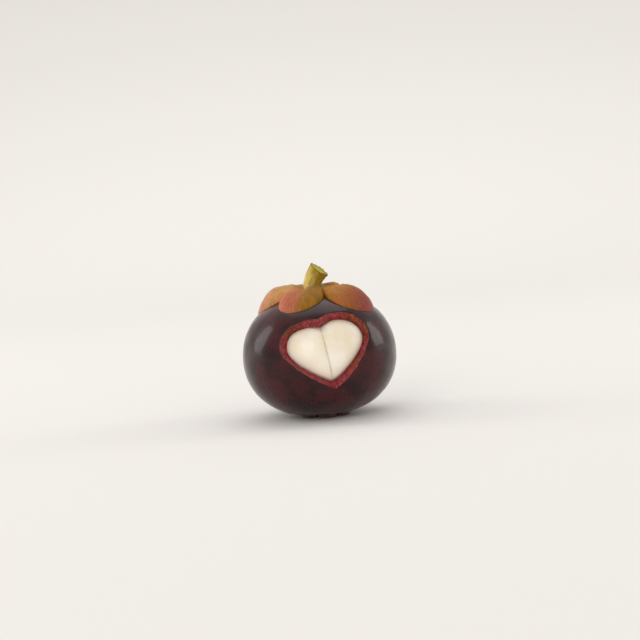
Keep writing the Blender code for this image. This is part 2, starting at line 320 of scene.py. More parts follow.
def makeRindSkin():
    # Ripe mangosteen skin, polished by handling: almost black purple with a waxy gloss, redder
    # clouds below it and a few fine pale specks, so it reads dark but never flat
    made, tree, place = startMaterial("ripe mangosteen skin")
    clouds = addNode(tree, "TexNoise", {
        "Vector": place, "Scale": 1.0 / rind["cloudSize"], "Detail": 5.0, "Roughness": 0.6})
    blush = addNode(tree, "ValToRGB", {"Fac": clouds.outputs["Fac"]}, stops=rind["skinTones"])
    specks = addNode(tree, "TexVoronoi", {"Vector": place, "Scale": 1.0 / rind["speckSpacing"]},
                     feature="F1")
    dots = addNode(tree, "ValToRGB", {"Fac": specks.outputs["Distance"]},
                   stops=((0.05, "#ffffff"), (0.16, "#000000")))
    dust = addNode(tree, "TexNoise", {"Vector": place, "Scale": 1.0 / rind["dustSize"], "Detail": 2.0})
    dustShare = addNode(tree, "ValToRGB", {"Fac": dust.outputs["Fac"]},
                        stops=((0.56, "#000000"), (0.70, "#3c3c3c")))
    speckShare = addNode(tree, "Math", {0: dots.outputs["Color"], 1: dustShare.outputs["Color"]},
                         operation="MULTIPLY")
    speckled = addNode(tree, "Mix", {
        mixShare: speckShare.outputs[0], mixFrom: blush.outputs["Color"],
        mixTo: rind["speckTone"]}, data_type="RGBA")
    sheen = addNode(tree, "MapRange", {"Value": dust.outputs["Fac"], "To Min": 0.18, "To Max": 0.32})
    pores = addNode(tree, "TexNoise", {"Vector": place, "Scale": 1.0 / rind["poreSize"], "Detail": 2.0})
    ripples = addNode(tree, "TexNoise", {
        "Vector": place, "Scale": 1.0 / rind["rippleSize"], "Detail": 3.0})
    fine = addNode(tree, "Bump", {
        "Height": pores.outputs["Fac"], "Strength": 0.10, "Distance": 0.2 * mm})
    broad = addNode(tree, "Bump", {
        "Height": ripples.outputs["Fac"], "Strength": 0.18, "Distance": 1.0 * mm,
        "Normal": fine.outputs["Normal"]})
    return finishMaterial(made, {
        "IOR": 1.45, "Specular IOR Level": 0.20, "Coat Weight": 0.24, "Coat Roughness": 0.06,
        "Coat IOR": 1.42,
    }, {"Base Color": speckled.outputs[mixOut], "Roughness": sheen.outputs[0],
        "Normal": broad.outputs["Normal"]})


def makeCutPericarp():
    # Pericarp cut with a knife: wet, spongy and crimson, browning to orange where the air has dried
    # it and darkest just under the skin; its wet lumps catch small bright glints
    made, tree, place = startMaterial("cut mangosteen pericarp")
    pulp = addNode(tree, "TexNoise", {
        "Vector": place, "Scale": 1.0 / rind["pulpSize"], "Detail": 6.0, "Roughness": 0.7})
    reds = addNode(tree, "ValToRGB", {"Fac": pulp.outputs["Fac"]}, stops=rind["freshTones"])
    drying = addNode(tree, "TexNoise", {
        "Vector": place, "Scale": 1.0 / rind["dryingSize"], "Detail": 3.0})
    exposed = addNode(tree, "Attribute", attribute_name="dried")
    driedSum = addNode(tree, "Math", {0: drying.outputs["Fac"], 1: exposed.outputs["Fac"]},
                       operation="ADD")
    dried = addNode(tree, "MapRange", {
        "Value": driedSum.outputs[0], "From Min": 0.66, "From Max": 1.35, "To Max": 0.8,
    }, interpolation_type="SMOOTHSTEP")
    browns = addNode(tree, "ValToRGB", {"Fac": pulp.outputs["Fac"]}, stops=rind["driedTones"])
    mixed = addNode(tree, "Mix", {
        mixShare: dried.outputs[0], mixFrom: reds.outputs["Color"],
        mixTo: browns.outputs["Color"]}, data_type="RGBA")
    shallow = addNode(tree, "Attribute", attribute_name="underSkin")
    darkened = addNode(tree, "Mix", {
        mixShare: shallow.outputs["Fac"], mixFrom: mixed.outputs[mixOut],
        mixTo: rind["stainTone"]}, data_type="RGBA")
    wet = addNode(tree, "MapRange", {"Value": pulp.outputs["Fac"], "To Min": 0.16, "To Max": 0.62})
    bump = addNode(tree, "Bump", {
        "Height": pulp.outputs["Fac"], "Strength": 1.0, "Distance": 0.45 * mm})
    return finishMaterial(made, {
        "IOR": 1.40, "Subsurface Weight": 0.12, "Subsurface Scale": 1.0 * mm,
        "Coat Weight": 0.5, "Coat Roughness": 0.10, "Coat IOR": 1.36,
    }, {"Base Color": darkened.outputs[mixOut], "Roughness": wet.outputs[0],
        "Normal": bump.outputs["Normal"], "Coat Normal": bump.outputs["Normal"]})


def dryness(column):  # how far the air has browned the cut, by its place round the heart
    angle = math.degrees(math.atan2(skinHeart[column].y, skinHeart[column].x))
    return sum(bell((angle - centre + 180.0) % 360.0 - 180.0, spread)
               for centre, spread in rind["driedPlaces"])


def edgeFall(distance):  # how far the window's rounded edge falls, that far from it
    return max(0.0, 1.0 - distance / rind["edgeRound"]) ** 2 * rind["edgeDrop"]


def makeRind():
    # A ball whose poles are at the back, outside and inside: its rows run over the skin to the
    # window's edge, down the cut wall and back over the inner side
    columns = len(skinHeart)
    rows = rind["skinRows"] + rind["wallRows"] + rind["innerRows"]
    outShares = [cutShare(column, 0.0) for column in range(columns)]
    inShares = [cutShare(column, fruit["wall"]) for column in range(columns)]
    astray = []
    for column in range(columns):  # sideways, away from the heart's middle, in the window's plane
        run = skinHeart[(column + 1) % columns] - skinHeart[column - 1]
        run.normalize()
        astray.append(rightward * run.y - upward * run.x)
    bm = bmesh.new()
    bmesh.ops.create_uvsphere(bm, u_segments=columns, v_segments=rows, radius=1.0)
    driedLayer = bm.verts.layers.float.new("dried")
    shallowLayer = bm.verts.layers.float.new("underSkin")
    edgeRow = rind["skinRows"]
    lipRow = edgeRow + rind["wallRows"]
    rowOf = {}
    for vert in bm.verts:
        row = round(math.acos(clamp(vert.co.z, -1.0, 1.0)) / math.pi * rows)
        column = round(math.atan2(vert.co.y, vert.co.x) / math.tau * columns) % columns
        rowOf[vert] = row
        vert[driedLayer] = dryness(column)
        if row < edgeRow:
            share = 1.0 - (1.0 - row / edgeRow) ** rind["crowding"]
            edge = (cutPoint(column, outShares[column]) - middle).normalized()
            direction = (-outward).slerp(edge, share) if row else -outward
            place = skinPoint(direction)
            gap = (1.0 - share) * (-outward).angle(edge) * fruit["radius"]
            fade = max(0.0, 1.0 - gap / rind["wanderFade"])
            place += astray[column] * fuzz(place, rind["wanderCell"]) * rind["edgeWander"] * fade
            direction = (place - middle).normalized()
            place = skinPoint(direction)
            swell = fuzz(place, rind["undulationCell"]) * rind["undulation"] * min(1.0, gap / mm)
            place += direction * (swell - edgeFall(gap))
        elif row <= lipRow:
            down = (row - edgeRow) / rind["wallRows"]
            top, foot = outShares[column], inShares[column]
            edge = cutPoint(column, top)
            place = cutPoint(column, top + (foot - top) * down)
            depth = (place - edge).length
            stain = rind["stainDepth"] * (1.0 + rind["stainRagged"] * fuzz(edge, rind["stainCell"]))
            vert[shallowLayer] = rind["stainShare"] * (1.0 - smoothStep(depth, 0.0, stain))
            place -= (place - middle).normalized() * edgeFall(depth)
            wander = astray[column] * fuzz(edge, rind["wanderCell"]) * rind["edgeWander"]
            onSkin = skinPoint((edge + wander - middle).normalized()) - edge - wander
            place += wander * (1.0 - rind["footCalm"] * down) + onSkin * (1.0 - down)
            rough = smoothStep(depth, 0.0, rind["fibreFrom"])
            rough *= 1.0 - rind["smoothing"] * smoothStep(down, rind["smoothFrom"], 1.0)
            fibre = fuzz(place, rind["fibreCell"], 3) * rind["fibreDepth"]
            grain = fuzz(place, rind["grainCell"], 2) * rind["grainDepth"]
            bulge = rind["wallBulge"] * math.sin(math.pi * down)
            place += astray[column] * (rough * (fibre + grain) + bulge)
        else:
            share = ((row - lipRow) / rind["innerRows"]) ** rind["innerCrowding"]
            edge = (cutPoint(column, inShares[column]) - middle).normalized()
            direction = edge.slerp(-outward, share) if row < rows else -outward
            place = skinPoint(direction, fruit["wall"])
        vert.co = place
    for face in bm.faces:
        reach = sum(rowOf[vert] for vert in face.verts) / len(face.verts)
        face.material_index = 1 if reach > edgeRow else 0
    addPiece("rindShell", bm, "rind", "rind", makeRindSkin(), makeCutPericarp())


makeRind()


flesh = {
    "count": 6,
    "shown": (1, 2),           # the segments in the window
    "firstAzimuth": -22.4,
    "twist": -340.0,           # degrees for each metre of height
    "press": 0.55 * mm,        # how far neighbours press into each other
    "clearance": 0.7 * mm,
    "core": 1.6 * mm,
    "roundness": 11.0,
    "seamDip": 0.45 * mm,      # soft valley beside each seam
    "seamWidth": 2.0 * mm,
    "swell": 2.4 * mm,         # how far the flesh stands up in the window
    "swellMargin": 6.6 * mm,
    "brimSwell": 0.45 * mm,    # and just behind the window's inner edge
    "brimMargin": 2.0 * mm,
    "swellFrom": 14.0 * mm,
    "shownGrid": (210, 150),
    "hiddenGrid": (60, 40),
    "softness": 0.10 * mm,
    "softCell": 5.0 * mm,
    "milkSize": 9.0 * mm,
    "strandWidth": 1.1 * mm,
    "strandLength": 6.0 * mm,
    "tones": ((0.32, "#ebdfc6"), (0.52, "#f2e8d6"), (0.72, "#f8f1e5")),
}


def roundedWedge(angle, halfAngle, inner, outer, roundness):  # a segment's outline, seen from above
    centre = 0.5 * (inner + outer)
    ray = Vector((math.cos(angle), math.sin(angle)))
    along = centre * ray.x
    reach = -along + math.sqrt(along * along + outer * outer - centre * centre)
    nearness = (1.0 / reach) ** roundness
    for side in (-1.0, 1.0):
        facing = ray.dot(Vector((-math.sin(halfAngle), side * math.cos(halfAngle))))
        if facing > 0.0:
            nearness += (facing / (centre * math.sin(halfAngle))) ** roundness
    if ray.x < 0.0:
        nearness += (-ray.x / (centre - inner)) ** roundness
    return Vector((centre, 0.0)) + ray * nearness ** (-1.0 / roundness)


def makeFleshMaterial():
    # Mangosteen aril: soft, wet and milky; light sinks in, so its shades stay warm and low in contrast
    made, tree, place = startMaterial("mangosteen aril flesh")
    milk = addNode(tree, "TexNoise", {"Vector": place, "Scale": 1.0 / flesh["milkSize"], "Detail": 3.0})
    cream = addNode(tree, "ValToRGB", {"Fac": milk.outputs["Fac"]}, stops=flesh["tones"])
    width, length = 1.0 / flesh["strandWidth"], 1.0 / flesh["strandLength"]
    strands = addNode(tree, "Mapping", {"Vector": place, "Scale": (width, width, length)})
    veins = addNode(tree, "TexNoise", {
        "Vector": strands.outputs["Vector"], "Scale": 1.0, "Detail": 3.0})
    bump = addNode(tree, "Bump", {
        "Height": veins.outputs["Fac"], "Strength": 0.10, "Distance": 0.3 * mm})
    return finishMaterial(made, {
        "Roughness": 0.34, "IOR": 1.40, "Coat Weight": 0.25, "Coat Roughness": 0.16,
        "Subsurface Weight": 0.65, "Subsurface Scale": 2.2 * mm,
        "Subsurface Radius": (1.0, 0.72, 0.45),
    }, {"Base Color": cream.outputs["Color"], "Normal": bump.outputs["Normal"]})


def fleshSwell(distance):
    share = clamp(distance / flesh["swellMargin"])
    brim = flesh["brimSwell"] * smoothStep(distance, -flesh["brimMargin"], 0.0)
    return brim + flesh["swell"] * math.sqrt(1.0 - (1.0 - share) ** 2)


def makeAril(number, material):
    shown = number in flesh["shown"]
    sides, rings = flesh["shownGrid"] if shown else flesh["hiddenGrid"]
    pitch = 360.0 / flesh["count"]
    halfAngle = math.radians(0.5 * pitch)
    inset = fruit["wall"] + flesh["clearance"]
    outer = fruit["radius"] - inset
    shift = -flesh["press"] / math.sin(halfAngle)
    bm = bmesh.new()
    bmesh.ops.create_uvsphere(bm, u_segments=sides, v_segments=rings, radius=1.0)
    for vert in bm.verts:
        share = clamp(vert.co.z, -1.0, 1.0)
        girth = squarish(share)
        height = share * ((fruit["rise"] if share > 0.0 else fruit["drop"]) - inset)
        flat = roundedWedge(math.atan2(vert.co.y, vert.co.x), halfAngle, flesh["core"],
                            outer - shift, flesh["roundness"])
        azimuth = flesh["firstAzimuth"] + pitch * (number - 1) + flesh["twist"] * height
        place = around(azimuth) * (flat.x * girth + shift) + around(azimuth + 90.0) * flat.y * girth
        height += dent(place.length, "baseDent") if share < 0.0 else -dent(place.length, "crownDent")
        place.z = height
        if shown and place.length > flesh["swellFrom"]:
            lift = fleshSwell(insideHeart(place))
            soft = fuzz(place, flesh["softCell"]) * flesh["softness"]
            seam = flat.length * girth * (halfAngle - abs(math.atan2(flat.y, flat.x)))
            soft -= flesh["seamDip"] * bell(seam, flesh["seamWidth"])
            place += place.normalized() * (lift + soft * min(1.0, lift / mm))
        vert.co = middle + place
    addPiece(f"arilSegment{number}", bm, f"aril_{number}", "flesh", material)


fleshMaterial = makeFleshMaterial()
for segment in range(1, flesh["count"] + 1):
    makeAril(segment, fleshMaterial)


calyx = {
    "inner": 3.8 * mm,         # how near the stem a sepal starts
    "centre": 13.0 * mm,
    "shoulder": 8.0 * mm,      # the sepals narrow beyond this
    "free": 16.5 * mm,         # and their margins are at their waviest beyond this
    "press": 0.45 * mm,        # how far neighbours' bases press into each other
    "twistFrom": 12.0 * mm,
    "twistEnd": 24.0 * mm,
    "wall": 1.6 * mm,
    "domePower": 3.6,
    "underShare": 0.6,         # how far the dome's hollow underside follows it
    "rim": 0.93,
    "fused": 8.0 * mm,         # nearer the stem than this, neighbours' bases are one soft valley
    "parted": 14.0 * mm,       # further out, a sepal's side comes down to the rind
    "valleyHeight": 0.62,      # share of the sepal's height kept in that valley
    "around": 200,
    "topRows": 76,
    "underRows": 16,
    "creaseIn": (-0.25, 0.2),  # shares of a crease's length over which it deepens
    "creaseOut": (0.75, 1.15),
    "wrinkle": 0.20 * mm,
    "wrinkleCell": 0.80 * mm,
    "wrinkleStretch": 4.5,     # wrinkles are longer than wide by this
    "wrinkleTurn": 15.0 * mm,  # angles become lengths at this radius
    "lip": 0.20 * mm,          # the thickened margin
    "lipAt": 0.90,
    "lipWidth": 0.045,
    "waver": 0.30 * mm,        # how far the margin strays from its smooth outline
    "waverCell": 4.5 * mm,
    "blotchSize": 4.5 * mm,
    "blotchShift": 0.22,       # how far blotches move the colours' borders
    "streakWidth": 0.45 * mm,
    "streakLength": 3.2 * mm,
    "grainSize": 0.55 * mm,
    "speckSpacing": 1.3 * mm,
    "speckTone": "#d2a678",
    "toneStops": (0.25, 0.46, 0.70, 0.95),
    "leftBlend": (0.46, 0.08),
}

# Creases run between two places on a sepal, each with a depth and a width; puffs have a place, a
# radius and a height. Places are millimetres out from the stem and across. Tones run outwards.
sepals = {
    "front": {
        "azimuth": -27.5, "halfWidth": 38.0, "reach": 24.7 * mm, "height": 4.1 * mm,
        "leftTwist": 0.0, "rightTwist": 8.0, "rightBlend": (0.48, 0.70),
        "creases": (((5.5, -2.4), (17.0, 1.6), 1.40, 1.7), ((17.0, 1.6), (24.0, 4.6), 0.75, 1.6)),
        "puffs": ((17.5, -5.0, 6.0, 0.85), (10.5, 5.5, 4.4, 1.10)),
        "tones": ("#8e701c", "#b67636", "#ba7042", "#b46246"), "sideShare": 0.92,
        "left": "#da7a62", "right": "#906402",
    },
    "right": {
        "azimuth": 63.0, "halfWidth": 50.5, "reach": 27.3 * mm, "height": 4.3 * mm,
        "leftTwist": 6.0, "rightTwist": 0.0, "rightBlend": (0.54, 0.86),
        "creases": (((5.0, -1.0), (11.5, 4.5), 1.90, 3.4), ((9.0, -6.5), (20.0, -9.5), 0.35, 1.5)),
        "puffs": ((21.5, 0.5, 6.5, 1.70),),
        "tones": ("#84660e", "#b67c2e", "#a06026", "#88362a"), "sideShare": 0.5,
        "left": "#b4782a", "right": "#a66430",
    },
    "back": {
        "azimuth": 155.5, "halfWidth": 42.0, "reach": 26.4 * mm, "height": 4.2 * mm,
        "leftTwist": 0.0, "rightTwist": 0.0, "rightBlend": (0.54, 0.86),
        "creases": (((7.5, -9.0), (10.0, 1.0), 1.40, 0.9), ((12.0, 3.0), (23.0, 4.0), 0.90, 1.5)),
        "puffs": ((16.0, 7.0, 4.0, 0.70), (12.6, -4.5, 3.0, 0.80)),
        "tones": ("#8a7020", "#b27a36", "#a86632", "#964432"), "sideShare": 0.5,
        "left": "#b0743c", "right": "#a0702c",
    },
    "left": {
        "azimuth": -113.0, "halfWidth": 49.5, "reach": 28.0 * mm, "height": 4.8 * mm,
        "leftTwist": 0.0, "rightTwist": 0.0, "rightBlend": (0.54, 0.86),
        "creases": (((8.0, -2.0), (20.0, -5.0), 0.60, 1.9), ((9.0, 6.0), (21.0, 10.5), 0.35, 1.5)),
        "puffs": ((22.0, 2.0, 6.5, 2.30),),
        "tones": ("#957828", "#c69450", "#c48c55", "#c97f6c"), "sideShare": 0.45,
        "left": "#b06a46", "right": "#c68e50",
    },
}


def sepalEdge(angle, halfAngle, reach):  # where the outline lies from the centre, that way
    centre = Vector((calyx["centre"], 0.0))
    ray = Vector((math.cos(angle), math.sin(angle)))

    def inside(distance):
        place = centre + ray * distance
        if place.length < calyx["inner"]:
            return False
        widen = math.atan2(place.y, place.x) / halfAngle
        lengthen = max(0.0, place.length - calyx["shoulder"]) / (reach - calyx["shoulder"])
        return widen * widen + lengthen * lengthen < 1.0
    return centre + ray * furthest(inside, 0.0, 2.0 * reach)


def makeSepalMaterial(name):
    # Leathery mangosteen sepal: finely wrinkled half-matt skin with pale corky specks, olive at the
    # stem, tan further out and blushed red towards its end
    made, tree, place = startMaterial(f"leathery {name} sepal")
    form = sepals[name]
    follow = addNode(tree, "UVMap", uv_map="fan").outputs["UV"]
    split = addNode(tree, "SeparateXYZ", {"Vector": follow})
    blotch = addNode(tree, "TexNoise", {
        "Vector": place, "Scale": 1.0 / calyx["blotchSize"], "Detail": 4.0, "Roughness": 0.6})
    stray = addNode(tree, "MapRange", {
        "Value": blotch.outputs["Fac"], "To Min": -calyx["blotchShift"],
        "To Max": calyx["blotchShift"]})
    outwards = addNode(tree, "Math", {0: split.outputs["X"], 1: stray.outputs[0]}, operation="ADD")
    body = addNode(tree, "ValToRGB", {"Fac": outwards.outputs[0]},
                   stops=tuple(zip(calyx["toneStops"], form["tones"])))
    across = addNode(tree, "Math", {0: split.outputs["Y"], 1: stray.outputs[0]}, operation="ADD")
    mixed = body.outputs["Color"]
    for side, (start, end) in (("left", calyx["leftBlend"]), ("right", form["rightBlend"])):
        share = addNode(tree, "MapRange", {
            "Value": across.outputs[0], "From Min": start, "From Max": end,
            "To Max": form["sideShare"]}, interpolation_type="SMOOTHSTEP")
        mixed = addNode(tree, "Mix", {
            mixShare: share.outputs[0], mixFrom: mixed, mixTo: form[side],
        }, data_type="RGBA").outputs[mixOut]
    arc = 2.0 * math.radians(form["halfWidth"]) * calyx["centre"]
    stretched = addNode(tree, "Mapping", {"Vector": follow, "Scale": (
        form["reach"] / calyx["streakLength"], arc / calyx["streakWidth"], 1.0)})
    streaks = addNode(tree, "TexNoise", {
        "Vector": stretched.outputs["Vector"], "Scale": 1.0, "Detail": 4.0, "Roughness": 0.6,
        "Distortion": 0.6}, noise_dimensions="2D")
    grain = addNode(tree, "TexNoise", {
        "Vector": place, "Scale": 1.0 / calyx["grainSize"], "Detail": 3.0, "Roughness": 0.6})
    specks = addNode(tree, "TexVoronoi", {"Vector": place, "Scale": 1.0 / calyx["speckSpacing"]},
                     feature="F1")
    speckShare = addNode(tree, "MapRange", {
        "Value": specks.outputs["Distance"], "From Min": 0.22, "From Max": 0.08, "To Max": 0.14,
    }, interpolation_type="SMOOTHSTEP")
    speckled = addNode(tree, "Mix", {
        mixShare: speckShare.outputs[0], mixFrom: mixed, mixTo: calyx["speckTone"],
    }, data_type="RGBA")
    tone = None
    for pattern, low, high in ((blotch, 0.74, 1.18), (streaks, 0.86, 1.12), (grain, 0.88, 1.10)):
        part = addNode(tree, "MapRange", {
            "Value": pattern.outputs["Fac"], **noiseSpan, "To Min": low, "To Max": high})
        tone = part if tone is None else addNode(
            tree, "Math", {0: tone.outputs[0], 1: part.outputs[0]}, operation="MULTIPLY")
    toned = addNode(tree, "VectorMath", {
        0: speckled.outputs[mixOut], "Scale": tone.outputs[0]}, operation="SCALE")
    bumpStreaks = addNode(tree, "Bump", {
        "Height": streaks.outputs["Fac"], "Strength": 0.9, "Distance": 0.38 * mm})
    bumpGrain = addNode(tree, "Bump", {
        "Height": grain.outputs["Fac"], "Strength": 0.8, "Distance": 0.28 * mm,
        "Normal": bumpStreaks.outputs["Normal"]})
    sheen = addNode(tree, "MapRange", {"Value": grain.outputs["Fac"], "To Min": 0.28, "To Max": 0.50})
    return finishMaterial(made, {
        "IOR": 1.42, "Specular IOR Level": 0.22, "Subsurface Weight": 0.08,
        "Subsurface Scale": 1.0 * mm,
    }, {"Base Color": toned.outputs[0], "Roughness": sheen.outputs[0],
        "Normal": bumpGrain.outputs["Normal"]})


def alongLine(spot, start, end):  # share along a line and distance from it
    run = end - start
    share = (spot - start).dot(run) / run.length_squared
    return share, (spot - start - run * clamp(share)).length


def sepalRelief(form, flat, share):  # creases, puffs, lip and wrinkles, added to a sepal's dome
    relief = 0.0
    for start, end, depth, width in form["creases"]:
        along, away = alongLine(flat / mm, Vector(start), Vector(end))
        fading = smoothStep(along, *calyx["creaseIn"]) * (1.0 - smoothStep(along, *calyx["creaseOut"]))
        relief -= depth * mm * fading * bell(away, width)
    for outwards, across, spread, height in form["puffs"]:
        relief += height * mm * bell((flat / mm - Vector((outwards, across))).length, spread)
    relief += calyx["lip"] * bell(share - calyx["lipAt"], calyx["lipWidth"])
    fold = Vector((flat.length / calyx["wrinkleStretch"],
                   math.atan2(flat.y, flat.x) * calyx["wrinkleTurn"], form["azimuth"] * mm))
    return relief + fuzz(fold, calyx["wrinkleCell"], 3) * calyx["wrinkle"]


def makeSepal(name):
    form = sepals[name]
    halfAngle = math.radians(form["halfWidth"])
    shift = -0.5 * calyx["press"] / math.sin(halfAngle)
    forward, sideways = around(form["azimuth"]), around(form["azimuth"] + 90.0)
    centre = Vector((calyx["centre"], 0.0))
    rows = calyx["topRows"] + calyx["underRows"]
    bm = bmesh.new()
    bmesh.ops.create_uvsphere(bm, u_segments=calyx["around"], v_segments=rows, radius=1.0)
    fan, edges = {}, {}
    for vert in bm.verts:
        row = round(math.acos(clamp(vert.co.z, -1.0, 1.0)) / math.pi * rows)
        turn = math.atan2(vert.co.y, vert.co.x)
        key = round(turn, 4)
        if key not in edges:
            edges[key] = sepalEdge(turn, halfAngle, form["reach"] - shift)
        onTop = row <= calyx["topRows"]
        step = row / calyx["topRows"] if onTop else (rows - row) / calyx["underRows"]
        share = math.sin(0.5 * math.pi * step)
        edge = edges[key]
        strayed = fuzz(Vector((edge.x, edge.y, form["azimuth"] * mm)), calyx["waverCell"])
        strayed *= calyx["waver"] * smoothStep(edge.length, calyx["shoulder"], calyx["free"])
        flat = centre.lerp(edge + (edge - centre).normalized() * strayed, share)
        if onTop:
            dome = math.sqrt(max(0.0, 1.0 - share ** calyx["domePower"]))
            low = 1.0 - smoothStep(flat.length, calyx["fused"], calyx["parted"])
            valley = calyx["valleyHeight"] * low
            crown = form["height"] * (valley + (1.0 - valley) * dome)
            crown += sepalRelief(form, flat, share) * dome
        else:
            under = min(1.0, share / calyx["rim"]) ** calyx["domePower"]
            crown = calyx["underShare"] * form["height"] - calyx["wall"]
            crown *= math.sqrt(max(0.0, 1.0 - under))
        across = math.atan2(flat.y, flat.x) / halfAngle
        twist = form["rightTwist"] * smoothStep(across, 0.0, 1.0)
        twist += form["leftTwist"] * smoothStep(-across, 0.0, 1.0)
        twist *= 1.0 - smoothStep(flat.length, calyx["twistFrom"], calyx["twistEnd"])
        laid = Matrix.Rotation(math.radians(twist), 2) @ Vector((flat.x + shift, flat.y))
        place = forward * laid.x + sideways * laid.y
        place.z = rindTop(place.length) + crown
        vert.co = place
        fan[vert] = (flat.length / form["reach"], 0.5 + 0.5 * across)
    layer = bm.loops.layers.uv.new("fan")
    for face in bm.faces:
        for loop in face.loops:
            loop[layer].uv = fan[loop.vert]
    addPiece(f"{name}Sepal", bm, f"sepal_{name}", "sepal", makeSepalMaterial(name))


for sepalName in sepals:
    makeSepal(sepalName)


stem = {
    "foot": Vector((-0.9, 0.0, 55.2)) * mm,
    "rise": Vector((-2.2, 0.0, 60.0)) * mm,
    "bend": Vector((-0.2, -0.1, 63.7)) * mm,
    "tip": Vector((3.1, -0.6, 67.2)) * mm,
    "radius": 3.9 * mm,
    "flare": 0.8 * mm,
    "flarePower": 3,           # higher keeps the flare nearer the tip
    "footFlare": 0.6 * mm,
    "footPower": 4,
    "ribs": 9,
    "ribHeight": 0.18 * mm,
    "barkRelief": 0.14 * mm,
    "barkCell": 1.6 * mm,
    "sides": 120,
    "rows": 64,
    "cutRings": (0.04, 0.10, 0.14, 0.16, 0.16, 0.16),    # widths, as shares of the radius
    "hollow": 0.7 * mm,
    "hollowSpan": 0.6,         # share of the radius over which the cut end sinks
    "ragged": 0.34 * mm,
    "raggedCell": 1.1 * mm,
    "slant": 1.4 * mm,         # how much lower the knife cut the side facing left
    "slantPower": 5,
    "slantAzimuth": -72.0,
    "blotchSize": 3.8 * mm,
    "pithSize": 0.9 * mm,
    "streakWidth": 0.55 * mm,
    "streakLength": 4.0 * mm,
    "height": 13.0 * mm,
    "barkTones": ((0.05, "#cba654"), (0.35, "#dcc470"), (0.65, "#cdb84e"), (0.95, "#c8bc40")),
    "shadedTone": "#9a7612",
    "collarShadeTone": "#6e5010",
    "pithTones": ((0.00, "#6e5010"), (0.12, "#9c9018"), (0.55, "#b3aa20"), (0.95, "#a39226")),
    "rightPithTone": "#7c7008",
}


def makeStemBark():
    # Young mangosteen stalk: ridged straw-coloured bark; painted shade turns it olive brown on the
    # right, away from the light, and paints a brown band just below the knife's cut on that side
    made, tree, place = startMaterial("ridged green stalk bark")
    follow = addNode(tree, "UVMap", uv_map="wrap").outputs["UV"]
    split = addNode(tree, "SeparateXYZ", {"Vector": follow})
    blotch = addNode(tree, "TexNoise", {
        "Vector": place, "Scale": 1.0 / stem["blotchSize"], "Detail": 3.0})
    stray = addNode(tree, "MapRange", {"Value": blotch.outputs["Fac"], "To Min": -0.3, "To Max": 0.3})
    rise = addNode(tree, "Math", {0: split.outputs["Y"], 1: stray.outputs[0]}, operation="ADD")
    body = addNode(tree, "ValToRGB", {"Fac": rise.outputs[0]}, stops=stem["barkTones"])
    reach = addNode(tree, "SeparateXYZ", {"Vector": place})
    drift = addNode(tree, "MapRange", {
        "Value": blotch.outputs["Fac"], "To Min": -2.2 * mm, "To Max": 2.2 * mm})
    sideways = addNode(tree, "Math", {0: reach.outputs["X"], 1: drift.outputs[0]}, operation="ADD")
    # painted shade: the bark turns olive brown towards the right, the side away from the light
    shade = addNode(tree, "MapRange", {
        "Value": sideways.outputs[0], "From Min": -4.0 * mm, "From Max": 1.6 * mm, "To Max": 0.9,
    }, interpolation_type="SMOOTHSTEP")
    shaded = addNode(tree, "Mix", {
        mixShare: shade.outputs[0], mixFrom: body.outputs["Color"], mixTo: stem["shadedTone"],
    }, data_type="RGBA")
    # painted shade: a brown band just below the cut, kept to the shaded right side
    collar = addNode(tree, "MapRange", {
        "Value": split.outputs["Y"], "From Min": 0.90, "From Max": 0.985, "To Max": 0.7,
    }, interpolation_type="SMOOTHSTEP")
    collarShadeShare = addNode(tree, "Math", {0: collar.outputs[0], 1: shade.outputs[0]},
                         operation="MULTIPLY")
    collarShaded = addNode(tree, "Mix", {
        mixShare: collarShadeShare.outputs[0], mixFrom: shaded.outputs[mixOut],
        mixTo: stem["collarShadeTone"]}, data_type="RGBA")
    girth = math.tau * stem["radius"]
    stretched = addNode(tree, "Mapping", {"Vector": follow, "Scale": (
        girth / stem["streakWidth"], stem["height"] / stem["streakLength"], 1.0)})
    streaks = addNode(tree, "TexNoise", {
        "Vector": stretched.outputs["Vector"], "Scale": 1.0, "Detail": 4.0}, noise_dimensions="2D")
    tone = addNode(tree, "MapRange", {
        "Value": streaks.outputs["Fac"], **noiseSpan, "To Min": 0.74, "To Max": 1.22})
    toned = addNode(tree, "VectorMath", {
        0: collarShaded.outputs[mixOut], "Scale": tone.outputs[0]}, operation="SCALE")
    bump = addNode(tree, "Bump", {
        "Height": streaks.outputs["Fac"], "Strength": 0.6, "Distance": 0.4 * mm})
    return finishMaterial(made, {
        "Roughness": 0.50, "IOR": 1.42, "Subsurface Weight": 0.08, "Subsurface Scale": 1.0 * mm,
    }, {"Base Color": toned.outputs[0], "Normal": bump.outputs["Normal"]})


